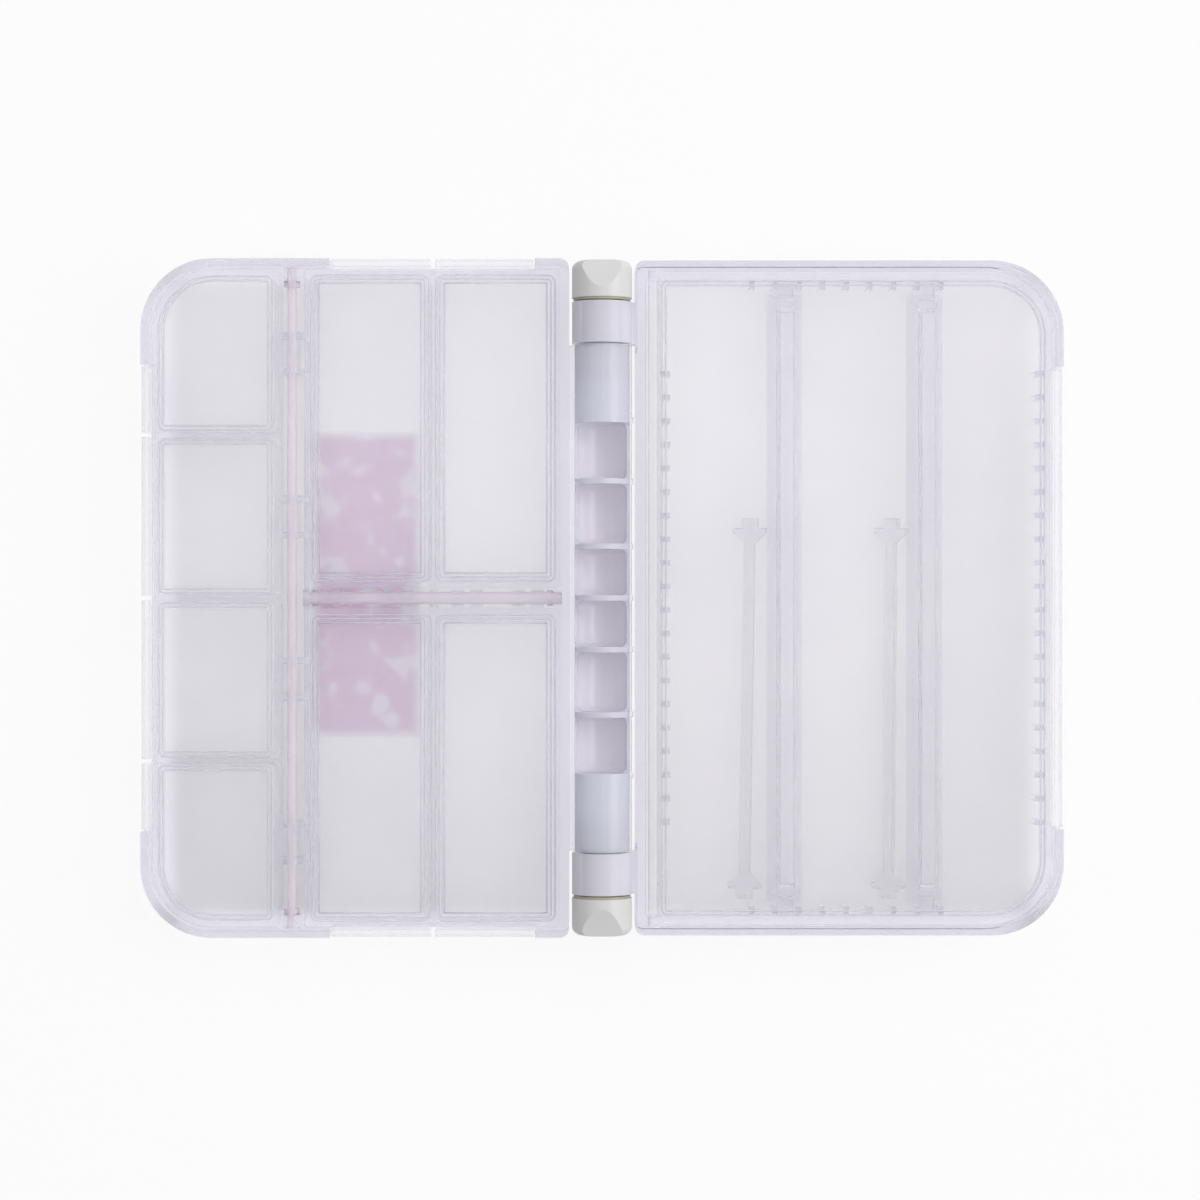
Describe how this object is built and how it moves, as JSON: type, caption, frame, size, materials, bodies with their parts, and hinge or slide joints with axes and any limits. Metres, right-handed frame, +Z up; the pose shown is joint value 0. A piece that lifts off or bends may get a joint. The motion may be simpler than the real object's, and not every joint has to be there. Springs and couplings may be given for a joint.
{
  "type": "two-sided tackle case with hinged lids",
  "caption": "Flat two-sided case for small tackle, open flat: lidded compartments on one half, a wide lidded tray with dividers on the other, and a turning drum of little cells in the spine.",
  "frame": {"origin": "middle of the open case's footprint, on the table", "axes": "+X across the open case from the small compartments to the wide tray, +Y along the spine, +Z up"},
  "size_m": [0.194, 0.1428, 0.0223],
  "materials": {
    "tray_plastic": "milky translucent moulding, satin gloss",
    "lid_plastic": "milky translucent moulding, smooth",
    "frosted_lid": "frosted translucent moulding",
    "rod_plastic": "smooth pinkish rod",
    "drum_plastic": "smooth translucent moulding",
    "knob_plastic": "fine matte cream",
    "washer_amber": "soft amber brown",
    "label_film": "pink printed film",
    "divider_plastic": "satin translucent moulding"
  },
  "bodies": {
    "left_half": {"left_tray": "tray_plastic", "small_lid_rod": "rod_plastic", "long_lid_rod": "rod_plastic", "rod_end_rings": "rod_plastic", "label_plate": "label_film"},
    "right_half": {"right_tray": "tray_plastic", "long_divider_1": "divider_plastic", "long_divider_2": "divider_plastic"},
    "drum": {"pocket_drum": "drum_plastic", "top_knob": "knob_plastic", "bottom_knob": "knob_plastic", "top_washer": "washer_amber", "bottom_washer": "washer_amber"},
    "big_lid_body": {"big_lid": "frosted_lid"},
    "short_divider_1_body": {"short_divider_1": "divider_plastic"},
    "short_divider_2_body": {"short_divider_2": "divider_plastic"},
    "small_lid_1_body": {"small_lid_1": "lid_plastic"},
    "long_lid_1_body": {"long_lid_1": "lid_plastic"},
    "small_lid_2_body": {"small_lid_2": "lid_plastic"},
    "long_lid_2_body": {"long_lid_2": "lid_plastic"},
    "small_lid_3_body": {"small_lid_3": "lid_plastic"},
    "long_lid_3_body": {"long_lid_3": "lid_plastic"},
    "small_lid_4_body": {"small_lid_4": "lid_plastic"},
    "long_lid_4_body": {"long_lid_4": "lid_plastic"}
  },
  "joints": [
    {"name": "case_hinge", "type": "hinge", "parent": "left_half", "child": "right_half", "pos_m": [0, 0, 0.016], "axis": [0, 1, 0], "range_deg": [-180, 0]},
    {"name": "drum_turn", "type": "hinge", "parent": "left_half", "child": "drum", "pos_m": [0, 0, 0.016], "axis": [0, 1, 0], "range_deg": [0, 180]},
    {"name": "big_lid_hinge", "type": "hinge", "parent": "right_half", "child": "big_lid_body", "pos_m": [0.0108, 0, 0.01405], "axis": [0, -1, 0], "range_deg": [0, 90]},
    {"name": "small_lid_1_hinge", "type": "hinge", "parent": "left_half", "child": "small_lid_1_body", "pos_m": [-0.0653, 0.0516, 0.01405], "axis": [0, 1, 0], "range_deg": [0, 90]},
    {"name": "small_lid_2_hinge", "type": "hinge", "parent": "left_half", "child": "small_lid_2_body", "pos_m": [-0.0653, 0.0172, 0.01405], "axis": [0, 1, 0], "range_deg": [0, 90]},
    {"name": "small_lid_3_hinge", "type": "hinge", "parent": "left_half", "child": "small_lid_3_body", "pos_m": [-0.0653, -0.0172, 0.01405], "axis": [0, 1, 0], "range_deg": [0, 90]},
    {"name": "small_lid_4_hinge", "type": "hinge", "parent": "left_half", "child": "small_lid_4_body", "pos_m": [-0.0653, -0.0516, 0.01405], "axis": [0, 1, 0], "range_deg": [0, 90]},
    {"name": "long_lid_1_hinge", "type": "hinge", "parent": "left_half", "child": "long_lid_1_body", "pos_m": [-0.04942, 0, 0.01405], "axis": [1, 0, 0], "range_deg": [0, 90]},
    {"name": "long_lid_2_hinge", "type": "hinge", "parent": "left_half", "child": "long_lid_2_body", "pos_m": [-0.02198, 0, 0.01405], "axis": [1, 0, 0], "range_deg": [0, 90]},
    {"name": "long_lid_3_hinge", "type": "hinge", "parent": "left_half", "child": "long_lid_3_body", "pos_m": [-0.04942, 0, 0.01405], "axis": [-1, 0, 0], "range_deg": [0, 90]},
    {"name": "long_lid_4_hinge", "type": "hinge", "parent": "left_half", "child": "long_lid_4_body", "pos_m": [-0.02198, 0, 0.01405], "axis": [-1, 0, 0], "range_deg": [0, 90]},
    {"name": "short_divider_1_slide", "type": "slide", "parent": "right_half", "child": "short_divider_1_body", "axis": [0, 1, 0], "range_m": [-0.001, 0.046]},
    {"name": "short_divider_2_slide", "type": "slide", "parent": "right_half", "child": "short_divider_2_body", "axis": [0, 1, 0], "range_m": [-0.001, 0.046]}
  ]
}
